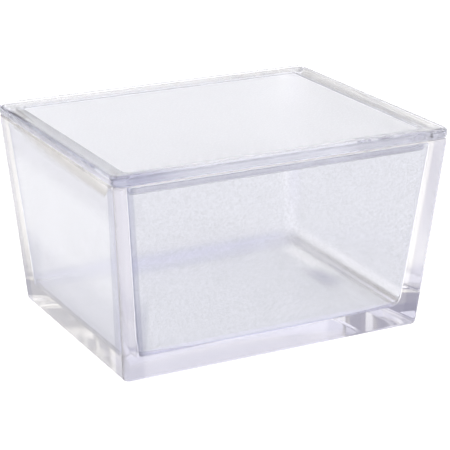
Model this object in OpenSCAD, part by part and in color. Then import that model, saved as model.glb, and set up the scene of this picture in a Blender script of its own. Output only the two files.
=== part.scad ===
// Covered glass trough.
// A heavy pressed-glass box with leaning sides and a thick floor, and a flat
// lid that rests on its rim. A shallow plug under the lid drops inside the
// rim and keeps the lid in place. The underside rests on z = 0, +X runs the
// long way and +Z is up. Both pieces are lofted through rounded rectangles.

/* [Trough] */
// Outside length at the rim
rim_l = 108; // [100:1:116]
// Outside width at the rim
rim_w = 88.6; // [82:0.2:96]
// Height from the underside to the rim
trough_h = 60.2; // [52:0.2:70]
// How far each end leans in from rim to base
end_lean = 4.8; // [3:0.1:6]
// How far each long side leans in from rim to base
side_lean = 6.3; // [4:0.1:7]
// Thickness of the walls at the rim
rim_t = 4.6; // [4:0.1:6]
// Thickness of the walls where they reach the floor
foot_t = 5.4; // [4:0.1:7]
// Thickness of the floor
floor_t = 6; // [4:0.1:9]

/* [Trough edges] */
// Radius of the outside upright corners
corner_r = 2; // [1.6:0.1:4]
// Radius of the cavity's upright corners
cavity_r = 3; // [2.5:0.1:6]
// Radius where the cavity's walls meet its floor
fillet_r = 3.5; // [1:0.1:5]
// Rounding around the underside
base_edge_r = 1.2; // [0.4:0.1:1.5]
// Rounding along both edges of the rim
rim_edge_r = 0.8; // [0.3:0.1:1.2]

/* [Lid] */
// How far the lid stands out past the rim, all round
lid_over = 0.3; // [0:0.1:2]
// Thickness of the lid's plate
lid_t = 3.3; // [2.5:0.1:5]
// How deep the plug drops inside the rim
plug_h = 3.5; // [2:0.1:6]
// Gap between the plug and the cavity's walls
plug_gap = 0.5; // [0.3:0.1:1]
// Radius of the lid's corners, seen from above
lid_corner_r = 3; // [2:0.1:5]
// Rounding along the lid's edges
lid_edge_r = 0.8; // [0.3:0.1:1.2]

/* [Hidden] */
corner_steps = 8;
edge_steps = 5;
base_l = rim_l - 2 * end_lean;
base_w = rim_w - 2 * side_lean;
// the lid's underside rests on the rim
lid_z = trough_h;

// Outside half sizes at height z, as [length, width]
function outside(z) = [
    (base_l + (rim_l - base_l) * z / trough_h) / 2,
    (base_w + (rim_w - base_w) * z / trough_h) / 2
];

// Wall thickness at height z
function wall(z) = foot_t + (rim_t - foot_t) * (z - floor_t) / (trough_h - floor_t);

// Cavity half sizes at height z
function cavity(z) = outside(z) - [wall(z), wall(z)];

// Angles that turn a quarter circle in edge_steps steps
function quarter() = [for (i = [0 : edge_steps]) 90 * i / edge_steps];

// One rounded rectangle at height z, anticlockwise from above
function ring(half, r, z) = [
    for (q = [0 : 3])
        for (i = [0 : corner_steps])
            let (
                a = 90 * (q + i / corner_steps),
                sx = q == 0 || q == 3 ? 1 : -1,
                sy = q < 2 ? 1 : -1
            )
            [sx * (half[0] - r) + r * cos(a), sy * (half[1] - r) + r * sin(a), z]
];

// A closed solid through rings that have the same number of points
module loft(rings) {
    n = len(rings[0]);
    last = len(rings) - 1;
    polyhedron(
        points = [for (r = rings) each r],
        faces = [
            [for (i = [0 : n - 1]) i],
            [for (i = [0 : n - 1]) last * n + n - 1 - i],
            for (k = [0 : last - 1])
                for (i = [0 : n - 1])
                    let (j = (i + 1) % n)
                    [k * n + j, k * n + i, (k + 1) * n + i, (k + 1) * n + j]
        ],
        convexity = 4
    );
}

// Up the outside, over the rim and down the cavity to the floor
module trough() {
    color([0.86, 0.88, 0.94, 0.35])
    loft([
        for (a = quarter())
            let (z = base_edge_r * (1 - cos(a)), inset = base_edge_r * (1 - sin(a)))
            ring(outside(z) - [inset, inset], corner_r - inset, z),
        for (a = quarter())
            let (z = trough_h - rim_edge_r * (1 - sin(a)), inset = rim_edge_r * (1 - cos(a)))
            ring(outside(z) - [inset, inset], corner_r - inset, z),
        for (a = quarter())
            let (z = trough_h - rim_edge_r * (1 - cos(a)), outset = rim_edge_r * (1 - sin(a)))
            ring(cavity(z) + [outset, outset], cavity_r + outset, z),
        for (a = quarter())
            let (z = floor_t + fillet_r * (1 - sin(a)), inset = fillet_r * (1 - cos(a)))
            ring(cavity(z) - [inset, inset], max(cavity_r, fillet_r + 0.5) - inset, z)
    ]);
}

// Up the plug, out under the plate, round its edge and in over the top
module lid() {
    plate = [rim_l / 2 + lid_over, rim_w / 2 + lid_over];
    plug = cavity(trough_h - plug_h) - [plug_gap, plug_gap];
    plug_r = cavity_r - plug_gap;
    color([0.88, 0.9, 0.95, 0.35])
    loft([
        for (a = quarter())
            let (z = lid_z - plug_h + lid_edge_r * (1 - cos(a)), inset = lid_edge_r * (1 - sin(a)))
            ring(plug - [inset, inset], plug_r - inset, z),
        ring(plug, plug_r, lid_z),
        for (a = quarter())
            let (z = lid_z + lid_edge_r * (1 - cos(a)), inset = lid_edge_r * (1 - sin(a)))
            ring(plate - [inset, inset], lid_corner_r - inset, z),
        for (a = quarter())
            let (z = lid_z + lid_t - lid_edge_r * (1 - sin(a)), inset = lid_edge_r * (1 - cos(a)))
            ring(plate - [inset, inset], lid_corner_r - inset, z)
    ]);
}

trough();
lid();
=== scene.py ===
import math

import bmesh
import bpy
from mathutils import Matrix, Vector


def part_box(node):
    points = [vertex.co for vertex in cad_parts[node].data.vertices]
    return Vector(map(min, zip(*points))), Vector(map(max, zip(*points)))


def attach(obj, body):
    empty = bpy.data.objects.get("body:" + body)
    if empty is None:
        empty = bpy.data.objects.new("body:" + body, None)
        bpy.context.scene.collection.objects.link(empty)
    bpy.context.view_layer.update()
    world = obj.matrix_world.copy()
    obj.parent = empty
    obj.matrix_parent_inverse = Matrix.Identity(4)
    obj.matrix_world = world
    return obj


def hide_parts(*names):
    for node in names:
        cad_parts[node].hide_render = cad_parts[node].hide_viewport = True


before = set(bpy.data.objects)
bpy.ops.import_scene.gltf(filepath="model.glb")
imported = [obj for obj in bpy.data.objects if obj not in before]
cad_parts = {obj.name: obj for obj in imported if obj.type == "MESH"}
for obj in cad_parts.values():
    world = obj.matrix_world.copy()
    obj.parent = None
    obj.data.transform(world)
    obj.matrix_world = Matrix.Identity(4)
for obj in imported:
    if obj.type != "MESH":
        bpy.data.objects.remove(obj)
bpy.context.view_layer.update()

mm = 0.001
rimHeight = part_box("trough")[1].z
nudge = 0.01 * mm  # points closer than this count as level


# camera

cameraSet = {
    "azimuth": -27.46,
    "elevation": 18.88,
    "distance": 549.4 * mm,
    "aimHeight": 35 * mm,
    "aimRight": 2.1 * mm,
    "aimUp": -6.3 * mm,
    "lens": 143.2,
}


def makeCamera(spec):
    turn, rise = math.radians(spec["azimuth"]), math.radians(spec["elevation"])
    back = Vector((math.sin(turn) * math.cos(rise), -math.cos(turn) * math.cos(rise), math.sin(rise)))
    right = Vector((math.cos(turn), math.sin(turn), 0))
    up = back.cross(right)
    camera = bpy.data.objects.new("camera", bpy.data.cameras.new("camera"))
    bpy.context.scene.collection.objects.link(camera)
    aim = Vector((0, 0, spec["aimHeight"])) + right * spec["aimRight"] + up * spec["aimUp"]
    camera.location = aim + back * spec["distance"]
    camera.rotation_euler = (-back).to_track_quat("-Z", "Y").to_euler()
    camera.data.lens = spec["lens"]
    camera.data.clip_start = 0.01
    camera.data.clip_end = 20
    bpy.context.scene.camera = camera


makeCamera(cameraSet)
print("camera set")


# shader maths

class Wire:
    # one output socket, or a plain number, that adds Math nodes as it is worked with
    def __init__(self, tree, socket):
        self.tree = tree
        self.socket = socket

    def math(self, operation, *others):
        return node(self.tree, "ShaderNodeMath", {"operation": operation}, [self, *others])

    def __add__(self, other):
        return self.math("ADD", other)

    def __radd__(self, other):
        return self.math("ADD", other)

    def __sub__(self, other):
        return self.math("SUBTRACT", other)

    def __rsub__(self, other):
        return node(self.tree, "ShaderNodeMath", {"operation": "SUBTRACT"}, [other, self])

    def __mul__(self, other):
        return self.math("MULTIPLY", other)

    def __rmul__(self, other):
        return self.math("MULTIPLY", other)

    def between(self, low, high):
        # 0 below low, 1 above high and smooth in between
        return node(self.tree, "ShaderNodeMapRange", {"interpolation_type": "SMOOTHSTEP"},
                    {"Value": self, "From Min": low, "From Max": high})


def node(tree, kind, settings=None, values=None, output=0):
    made = tree.nodes.new(kind)
    for name, value in (settings or {}).items():
        setattr(made, name, value)
    pairs = values.items() if isinstance(values, dict) else enumerate(values or [])
    for name, value in pairs:
        if isinstance(value, Wire):
            tree.links.new(value.socket, made.inputs[name])
        else:
            made.inputs[name].default_value = value
    return Wire(tree, made.outputs[output])


def axisOf(tree, place, axis):
    return node(tree, "ShaderNodeSeparateXYZ", None, [place], output=axis)


def colourMix(tree, factor, first, second):
    mix = tree.nodes.new("ShaderNodeMix")
    mix.data_type = "RGBA"
    for socket, value in zip((mix.inputs[0], mix.inputs[6], mix.inputs[7]), (factor, first, second)):
        if isinstance(value, Wire):
            tree.links.new(value.socket, socket)
        else:
            socket.default_value = value
    return Wire(tree, mix.outputs[2])


# stage: white paper all round, bright behind the glass and dim on the camera's side

stageSet = {
    "floorSize": 6.0,
    "floorDrop": 0.05 * mm,
    "paper": (0.97, 0.97, 0.97, 1),
    "glow": 0.98,
    "reflected": 0.3,
    "paperRough": 0.9,
    "behind": (0.461, 0.887, 0),
    "bright": (1.06, 1.06, 1.06, 1),
    "dim": (0.42, 0.42, 0.50, 1),
    "dimEnds": (-0.5, 0.2),
    "overhead": (1.4, 1.4, 1.44, 1),
    "overheadFrom": (0.5, 0.9),
    "card": {"towards": (-0.44, 0.84, 0.31), "spread": (0.88, 0.96), "colour": (0.52, 0.51, 0.58, 1)},
    "bounces": 40,
}


def paperMaterial(spec):
    # matt paper with an even glow of its own
    paper = bpy.data.materials.new("whitePaper")
    paper.use_nodes = True
    shader = paper.node_tree.nodes["Principled BSDF"]
    shader.inputs["Base Color"].default_value = [c * spec["reflected"] for c in spec["paper"][:3]] + [1]
    shader.inputs["Roughness"].default_value = spec["paperRough"]
    shader.inputs["Specular IOR Level"].default_value = 0.0
    shader.inputs["Emission Color"].default_value = spec["paper"]
    shader.inputs["Emission Strength"].default_value = spec["glow"]
    return paper


def makeStage(spec):
    bpy.ops.mesh.primitive_plane_add(size=spec["floorSize"], location=(0, 0, -spec["floorDrop"]))
    floor = bpy.context.active_object
    floor.name = "floor"
    bpy.ops.object.transform_apply(location=True, rotation=True, scale=True)
    floor.data.materials.append(paperMaterial(spec))

    world = bpy.data.worlds.new("softSky")
    bpy.context.scene.world = world
    world.use_nodes = True
    tree = world.node_tree
    way = node(tree, "ShaderNodeTexCoord", output="Generated")

    def facing(towards):
        return node(tree, "ShaderNodeVectorMath", {"operation": "DOT_PRODUCT"}, [way, towards], output=1)

    sky = colourMix(tree, facing(spec["behind"]).between(*spec["dimEnds"]), spec["dim"], spec["bright"])
    sky = colourMix(tree, axisOf(tree, way, 2).between(*spec["overheadFrom"]), sky, spec["overhead"])
    card = spec["card"]
    sky = colourMix(tree, facing(card["towards"]).between(*card["spread"]), sky, card["colour"])
    tree.links.new(sky.socket, tree.nodes["Background"].inputs["Color"])
    scene = bpy.context.scene
    scene.view_settings.view_transform = "Standard"
    scene.cycles.max_bounces = spec["bounces"]
    scene.cycles.transmission_bounces = spec["bounces"]
    scene.cycles.glossy_bounces = spec["bounces"]
    scene.cycles.blur_glossy = 0


makeStage(stageSet)
print("stage set")


# modelling helpers

def only(obj):
    bpy.ops.object.select_all(action="DESELECT")
    obj.select_set(True)
    bpy.context.view_layer.objects.active = obj


def pick(obj, kind, test):
    # in edit mode, leaves selected just the vertices, edges or faces that pass the test
    bpy.ops.mesh.select_mode(type={"verts": "VERT", "edges": "EDGE", "faces": "FACE"}[kind])
    bpy.ops.mesh.select_all(action="DESELECT")
    mesh = bmesh.from_edit_mesh(obj.data)
    for item in getattr(mesh, kind):
        if test(item):
            item.select_set(True)
    bmesh.update_edit_mesh(obj.data)


def atHeight(z):
    # a test for edges and faces that lie level at height z
    return lambda item: all(abs(v.co.z - z) < nudge for v in item.verts)


def leaningBlock(name, low, high, z0, z1):
    # a block of half size low at z0 and high at z1, left in edit mode
    bpy.ops.object.select_all(action="DESELECT")
    bpy.ops.mesh.primitive_cube_add(
        size=2, location=(0, 0, (z0 + z1) / 2), scale=(low[0], low[1], (z1 - z0) / 2))
    obj = bpy.context.active_object
    obj.name = name
    bpy.ops.object.transform_apply(location=True, rotation=True, scale=True)
    bpy.ops.object.mode_set(mode="EDIT")
    pick(obj, "verts", lambda v: abs(v.co.z - z1) < nudge)
    bpy.ops.transform.resize(value=(high[0] / low[0], high[1] / low[1], 1), center_override=(0, 0, z1))
    return obj


def roundPicked(radius, steps=10):
    bpy.ops.mesh.bevel(offset=radius, offset_type="OFFSET", segments=steps, profile=0.5, affect="EDGES")


def uprightShell(name, low, high, z0, z1, radius, openAt):
    # a leaning block with rounded upright corners and one end left open
    obj = leaningBlock(name, low, high, z0, z1)
    pick(obj, "edges", lambda e: abs(e.verts[0].co.z - e.verts[1].co.z) > (z1 - z0) / 2)
    roundPicked(radius)
    pick(obj, "faces", atHeight(openAt))
    bpy.ops.mesh.delete(type="ONLY_FACE")
    bpy.ops.object.mode_set(mode="OBJECT")
    return obj


def turnInsideOut(obj):
    only(obj)
    bpy.ops.object.mode_set(mode="EDIT")
    bpy.ops.mesh.select_all(action="SELECT")
    bpy.ops.mesh.flip_normals()
    bpy.ops.object.mode_set(mode="OBJECT")


def joinRims(outer, inner):
    # one closed skin from two open ones, with a flat band between their open ends
    only(outer)
    inner.select_set(True)
    bpy.ops.object.join()
    bpy.ops.object.mode_set(mode="EDIT")
    pick(outer, "edges", lambda e: e.is_boundary)
    bpy.ops.mesh.bridge_edge_loops()
    bpy.ops.mesh.select_all(action="SELECT")
    bpy.ops.mesh.remove_doubles(threshold=nudge / 10)
    bpy.ops.mesh.normals_make_consistent(inside=False)
    bpy.ops.object.mode_set(mode="OBJECT")
    return outer


def roundLoop(obj, z, radius, half=(0, 0), within=False):
    # rounds the level edges at height z that lie beyond a half size, or within it
    def test(edge):
        if not atHeight(z)(edge) or len(edge.link_faces) != 2:
            return False
        middle = (edge.verts[0].co + edge.verts[1].co) / 2
        return (max(abs(middle.x) - half[0], abs(middle.y) - half[1]) < 0) == within
    bpy.ops.object.mode_set(mode="EDIT")
    pick(obj, "edges", test)
    roundPicked(radius, 6)
    bpy.ops.object.mode_set(mode="OBJECT")


def gridCuts(obj, gap):
    # level and upright cuts that give the big flats enough points to be wavy
    only(obj)
    bpy.ops.object.mode_set(mode="EDIT")
    bpy.ops.mesh.select_mode(type="VERT")
    low = [min(v.co[i] for v in obj.data.vertices) for i in range(3)]
    high = [max(v.co[i] for v in obj.data.vertices) for i in range(3)]
    for axis in range(3):
        count = max(1, round((high[axis] - low[axis]) / gap))
        for step in range(1, count):
            place = low[axis] + (high[axis] - low[axis]) * step / count
            normal = [0, 0, 0]
            normal[axis] = 1
            bpy.ops.mesh.select_all(action="SELECT")
            bpy.ops.mesh.bisect(plane_co=[place if i == axis else 0 for i in range(3)], plane_no=normal)
    bpy.ops.object.mode_set(mode="OBJECT")


def finishGlass(obj, ripple, rippleSize):
    # pressed glass is never quite flat
    only(obj)
    waves = bpy.data.textures.new(obj.name + "Waves", "CLOUDS")
    waves.noise_basis = "IMPROVED_PERLIN"
    waves.noise_scale = rippleSize
    waves.contrast = 0.5
    wavy = obj.modifiers.new("wavy", "DISPLACE")
    wavy.texture = waves
    wavy.texture_coords = "LOCAL"
    wavy.strength = ripple
    bpy.ops.object.modifier_apply(modifier="wavy")
    for vertex in obj.data.vertices:
        vertex.co.z = max(vertex.co.z, 0)
    bpy.ops.object.shade_smooth()
    weighted = obj.modifiers.new("weighted", "WEIGHTED_NORMAL")
    weighted.weight = 90
    weighted.keep_sharp = False
    bpy.ops.object.modifier_apply(modifier="weighted")


# trough

troughShape = {
    "rimHalf": (54 * mm, 44.3 * mm),
    "endLean": 4.8 * mm,
    "sideLean": 6.3 * mm,
    "rimWall": 4.6 * mm,
    "footWall": 5.4 * mm,
    "floor": 5.6 * mm,
    "dish": 1.8 * mm,
    "dishReach": 12 * mm,
    "corner": 2 * mm,
    "cavityCorner": 1.2 * mm,
    "endFillets": (1.2 * mm, 3.5 * mm),
    "baseEdge": 1.2 * mm,
    "rimEdge": 0.8 * mm,
    "cuts": 6 * mm,
    "ripple": 0.03 * mm,
    "rippleSize": 28 * mm,
}


def troughHalves(spec):
    # half sizes outside at the base, and inside at the floor and at the rim
    rim = spec["rimHalf"]
    base = (rim[0] - spec["endLean"], rim[1] - spec["sideLean"])
    share = spec["floor"] / rimHeight
    foot = [b + (r - b) * share - spec["footWall"] for b, r in zip(base, rim)]
    mouth = [r - spec["rimWall"] for r in rim]
    return base, foot, mouth


def makeCavity(spec, foot, mouth):
    # the moulded hollow: round where the floor meets the ends, nearly sharp elsewhere
    low, high = spec["floor"], rimHeight
    obj = leaningBlock("cavity", foot, mouth, low, high)
    for side, fillet in zip((-1, 1), spec["endFillets"]):
        def atEnd(edge):
            return atHeight(low)(edge) and all(v.co.x * side > foot[0] - nudge for v in edge.verts)
        pick(obj, "edges", atEnd)
        roundPicked(fillet)
    pick(obj, "faces", lambda f: abs(f.normal.y) > 0.9)
    bpy.ops.mesh.region_to_loop()
    roundPicked(spec["cavityCorner"])
    pick(obj, "faces", lambda f: abs(f.normal.z) > 0.9 and f.calc_center_median().z > high - nudge)
    bpy.ops.mesh.delete(type="ONLY_FACE")
    bpy.ops.object.mode_set(mode="OBJECT")
    turnInsideOut(obj)
    return obj


def dishFloor(obj, spec, foot):
    # the floor rises towards both ends, and the walls' feet with it
    for vertex in obj.data.vertices:
        x, y, z = vertex.co
        if abs(x) < foot[0] + nudge and abs(y) < foot[1] + nudge and z > spec["floor"] / 2:
            fade = max(0, 1 - (z - spec["floor"]) / spec["dishReach"])
            vertex.co.z += spec["dish"] * (x / foot[0]) ** 2 * fade


def makeTrough(spec):
    rim = spec["rimHalf"]
    base, foot, mouth = troughHalves(spec)
    outer = uprightShell("troughGlass", base, rim, 0, rimHeight, spec["corner"], rimHeight)
    trough = joinRims(outer, makeCavity(spec, foot, mouth))
    middle = [(a + b) / 2 for a, b in zip(rim, mouth)]
    roundLoop(trough, 0, spec["baseEdge"])
    roundLoop(trough, rimHeight, spec["rimEdge"], middle)
    roundLoop(trough, rimHeight, spec["rimEdge"], middle, within=True)
    gridCuts(trough, spec["cuts"])
    dishFloor(trough, spec, foot)
    finishGlass(trough, spec["ripple"], spec["rippleSize"])
    return trough


# lid

lidShape = {
    "over": 0.3 * mm,
    "plate": 3.3 * mm,
    "plugDepth": 3.5 * mm,
    "plugGap": 0.8 * mm,  # at the rim, and less lower down where the walls lean in
    "corner": 3 * mm,
    "plugCorner": 2.5 * mm,
    "edge": 1.3 * mm,
    "plugEdge": 0.8 * mm,
    "cuts": 6 * mm,
    "ripple": 0.03 * mm,
    "rippleSize": 28 * mm,
}


def lidHalves(spec):
    # half sizes of the plate and of the plug under it
    rim = troughShape["rimHalf"]
    plate = [r + spec["over"] for r in rim]
    plug = [r - troughShape["rimWall"] - spec["plugGap"] for r in rim]
    return plate, plug


def makeLid(spec):
    plate, plug = lidHalves(spec)
    low = rimHeight - spec["plugDepth"]
    high = rimHeight + spec["plate"]
    outer = uprightShell("lidGlass", plate, plate, rimHeight, high, spec["corner"], rimHeight)
    inner = uprightShell("plug", plug, plug, low, rimHeight, spec["plugCorner"], rimHeight)
    lid = joinRims(outer, inner)
    middle = [(a + b) / 2 for a, b in zip(plate, plug)]
    roundLoop(lid, high, spec["edge"])
    roundLoop(lid, low, spec["plugEdge"])
    roundLoop(lid, rimHeight, spec["edge"], middle)
    gridCuts(lid, spec["cuts"])
    finishGlass(lid, spec["ripple"], spec["rippleSize"])
    return lid


# glass

surfaceSet = {
    "grain": {"Scale": 1500.0, "Detail": 3.0},
    "grainSpread": (0.35, 0.65),
    "drift": {"Scale": 35.0, "Detail": 2.0},
    "driftSpread": (0.3, 0.7),
    "bumpDepth": 0.1 * mm,
    "refraction": 1.52,
}

glassSet = {
    "trough": {
        "tint": (0.99, 0.985, 0.985, 1),
        "satinTint": (0.655, 0.665, 0.72, 1),
        # painted shade colour for the edge bands
        "paintedEdgeShade": (0.66, 0.66, 0.80, 1),
        "clearness": 0.999,
        "depthTint": (0.98, 0.96, 0.91, 1),
        "density": 9.0,
        "rough": (0.004, 0.02),
        "satinRough": (0.11, 0.15),
        "mottle": 0.14,
        "bump": 0.04,
    },
    "lid": {
        "tint": (0.975, 0.977, 0.985, 1),
        "satinTint": (0.86, 0.855, 0.875, 1),
        # painted shade colour for the edge bands
        "paintedEdgeShade": (0.66, 0.66, 0.80, 1),
        "clearness": 0.96,
        "depthTint": (0.80, 0.81, 0.88, 1),
        "density": 4.0,
        "rough": (0.004, 0.02),
        "satinRough": (0.29, 0.34),
        "mottle": 0.14,
        "bump": 0.04,
    },
}


def outline(low, z0, high, z1):
    # half sizes of a leaning wall as a start at z = 0 and a gain for each metre up
    gain = [(h - l) / (z1 - z0) for l, h in zip(low, high)]
    return {"half": [l - g * z0 for l, g in zip(low, gain)], "gain": gain}


def nearOutline(tree, place, band):
    # 1 from reach to full inside an outline and beyond, at its sides, upright corners or all round
    x, y, z = [axisOf(tree, place, axis) for axis in range(3)]
    near = []
    for along, half, gain in zip((x, y), band["half"], band["gain"]):
        near.append((along.math("ABSOLUTE") - (half + gain * z)).between(-band["reach"], -band["full"]))
    if band["where"] == "corners":
        mask = near[0] * near[1]
    elif band["where"] == "sides":
        mask = near[1]
    else:
        mask = near[0].math("MAXIMUM", near[1])
    low, high = band["heights"]
    soft = band["soft"]
    return mask * z.between(low - soft, low) * (1 - z.between(high, high + soft)) * band["strength"]


def insidePatch(tree, place, patch):
    # 1 well inside a box with soft sides
    mask = 1
    for axis, (middle, half, soft) in enumerate(zip(patch["middle"], patch["half"], patch["soft"])):
        along = (axisOf(tree, place, axis) - middle).math("ABSOLUTE")
        mask = (1 - along.between(half - soft / 2, half + soft / 2)) * mask
    return mask


def mixed(ends, amount):
    return ends[0] + (ends[1] - ends[0]) * amount


def makeGlass(name, spec, satinOf, edges, patches):
    # one glass, satin where the mould pressed it and clear elsewhere, with painted shade as deeper colour
    # along its edges, and painted light and shade in patches
    look = surfaceSet
    material = bpy.data.materials.new(name)
    material.use_nodes = True
    tree = material.node_tree
    place = node(tree, "ShaderNodeTexCoord", output="Object")
    grain = node(tree, "ShaderNodeTexNoise", None, {"Vector": place, **look["grain"]})
    drift = node(tree, "ShaderNodeTexNoise", None, {"Vector": place, **look["drift"]})
    drift = drift.between(*look["driftSpread"])
    satin = satinOf(tree, place)
    shader = tree.nodes["Principled BSDF"]
    darker = [c * (1 - spec["mottle"]) for c in spec["satinTint"][:3]] + [1]
    mottled = colourMix(tree, grain.between(*look["grainSpread"]), darker, spec["satinTint"])
    tint = colourMix(tree, satin, spec["tint"], mottled)
    # painted shade: darker, bluer bands along edges and corners stand in for the dark lines the surroundings
    # make in glass edges
    for edge in edges:
        tint = colourMix(tree, nearOutline(tree, place, edge), tint, edge.get("tint", spec["paintedEdgeShade"]))
    for patch in patches.values():
        tint = colourMix(tree, insidePatch(tree, place, patch), tint, patch["tint"])
    tree.links.new(tint.socket, shader.inputs["Base Color"])
    shader.inputs["Transmission Weight"].default_value = spec["clearness"]
    shader.inputs["IOR"].default_value = look["refraction"]
    rough = mixed(spec["rough"], drift) * (1 - satin) + mixed(spec["satinRough"], drift) * satin
    tree.links.new(rough.socket, shader.inputs["Roughness"])
    bump = node(tree, "ShaderNodeBump", None, {
        "Height": grain * satin, "Strength": spec["bump"], "Distance": look["bumpDepth"]})
    tree.links.new(bump.socket, shader.inputs["Normal"])
    inside = tree.nodes.new("ShaderNodeVolumeAbsorption")
    inside.inputs["Color"].default_value = spec["depthTint"]
    inside.inputs["Density"].default_value = spec["density"]
    tree.links.new(inside.outputs[0], tree.nodes["Material Output"].inputs["Volume"])
    return material


rampHeight = troughShape["floor"] + 2 * mm

# painted light and shade on the trough's glass, each a tint inside a soft box
troughPaintedLightAndShade = {
    # painted light: lighter up the far right inner corner
    "farCornerLight": {
        "middle": (46.5 * mm, 36 * mm, 34 * mm), "half": (4 * mm, 3.5 * mm, 28 * mm),
        "soft": (2 * mm, 2 * mm, 2 * mm), "tint": (0.92, 0.92, 0.95, 1)},
    # painted light: the floor's satin made lighter
    "floor": {
        "middle": (0, 0, troughShape["floor"]), "half": (43 * mm, 33 * mm, 1.2 * mm),
        "soft": (1 * mm, 1 * mm, 1 * mm), "tint": (0.69, 0.705, 0.765, 1)},
    # painted highlight: a lighter right-end fillet and a white streak beside it on the floor
    "rightFilletHighlight": {
        "middle": (43.5 * mm, 0, rampHeight), "half": (2.2 * mm, 33 * mm, 4 * mm),
        "soft": (1.5 * mm, 4 * mm, 1.5 * mm), "tint": (0.85, 0.85, 0.89, 1)},
    "paintedHighlightStreak": {
        "middle": (38.5 * mm, 11 * mm, rampHeight), "half": (2.5 * mm, 14 * mm, 4 * mm),
        "soft": (1.5 * mm, 6 * mm, 1.5 * mm), "tint": (1, 1, 1, 1)},
    # painted shadow: a dark spot on the floor near the right end
    "paintedShadowSpot": {
        "middle": (35 * mm, -3 * mm, rampHeight), "half": (3 * mm, 7 * mm, 4 * mm),
        "soft": (4 * mm, 9 * mm, 1.5 * mm), "tint": (0.32, 0.33, 0.42, 1)},
    # painted shade: the left end darker high up and low down
    "leftEndTopShade": {
        "middle": (-48 * mm, 0, 56 * mm), "half": (4 * mm, 38 * mm, 7 * mm),
        "soft": (2 * mm, 4 * mm, 8 * mm), "tint": (0.42, 0.42, 0.49, 1)},
    "leftEndFootShade": {
        "middle": (-45.5 * mm, 0, 14 * mm), "half": (4 * mm, 38 * mm, 9 * mm),
        "soft": (2 * mm, 4 * mm, 10 * mm), "tint": (0.41, 0.415, 0.50, 1)},
}


def troughGlass(spec):
    base, foot, mouth = troughHalves(spec)
    floor = spec["floor"]
    outside = outline(base, 0, spec["rimHalf"], rimHeight)
    inside = outline(foot, floor, mouth, rimHeight)

    def satinOf(tree, place):
        # the cavity, well within its wall and above the base
        wall = {**inside, "reach": -0.8 * mm, "full": -1.2 * mm, "where": "all", "heights": (0, 1), "soft": 1,
                "strength": 1}
        above = axisOf(tree, place, 2).between(floor / 2, floor / 2 + 1 * mm)
        return (1 - nearOutline(tree, place, wall)) * above

    # painted shade: darker bands at the base's bottom edge, along the outside upright corners, along the
    # floor's front and back lines and up the cavity's inner corners
    edges = [
        {**outside, "where": "all", "reach": 2 * mm, "full": 0.8 * mm,
         "heights": (0, 0.6 * mm), "soft": 0.8 * mm, "strength": 0.5},
        {**outside, "where": "corners", "reach": 2.2 * mm, "full": 1.2 * mm,
         "heights": (8 * mm, rimHeight), "soft": 4 * mm, "strength": 0.5},
        {**inside, "where": "sides", "reach": 1.1 * mm, "full": 0.2 * mm,
         "heights": (0, floor + 2.2 * mm), "soft": 0.8 * mm, "strength": 0.9},
        {**inside, "where": "corners", "reach": 1 * mm, "full": 0.4 * mm,
         "heights": (0, rimHeight), "soft": 1 * mm, "strength": 0.5, "tint": (0.30, 0.30, 0.42, 1)},
        {**outside, "where": "corners", "reach": 6 * mm, "full": 4.5 * mm,
         "heights": (8 * mm, rimHeight), "soft": 4 * mm, "strength": 0.45},
    ]
    return makeGlass("troughGlass", glassSet["trough"], satinOf, edges, troughPaintedLightAndShade)


# painted shade: the left part of the lid's front edge darker and bluer
lidPaintedShade = {
    "frontEdgeLeftShade": {
        "middle": (-54 * mm, -44.5 * mm, rimHeight + 1.6 * mm), "half": (17 * mm, 2.5 * mm, 3 * mm),
        "soft": (22 * mm, 3 * mm, 3 * mm), "tint": (0.40, 0.40, 0.54, 1)},
}


def lidGlass(spec):
    plate, plug = lidHalves(spec)
    under = rimHeight - spec["plugDepth"]

    def satinOf(tree, place):
        # the underside of the plug
        return 1 - axisOf(tree, place, 2).between(under + 0.3 * mm, under + 0.6 * mm)

    # painted shade: darker, bluer bands round the plate's sides and round the plug
    edges = [
        {**outline(plate, 0, plate, 1), "where": "all", "reach": 1.5 * mm, "full": 0.3 * mm,
         "heights": (rimHeight - 1 * mm, 1), "soft": 0.1 * mm, "strength": 0.38},
        {**outline(plug, 0, plug, 1), "where": "all", "reach": 0.8 * mm, "full": 0.1 * mm,
         "heights": (0, rimHeight - 0.4 * mm), "soft": 0.2 * mm, "strength": 0.5},
    ]
    return makeGlass("lidGlass", glassSet["lid"], satinOf, edges, lidPaintedShade)


trough = makeTrough(troughShape)
trough.data.materials.append(troughGlass(troughShape))
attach(trough, "trough")
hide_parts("trough")
print("trough made", len(trough.data.polygons))

lid = makeLid(lidShape)
lid.data.materials.append(lidGlass(lidShape))
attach(lid, "lid")
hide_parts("lid")
print("lid made", len(lid.data.polygons))
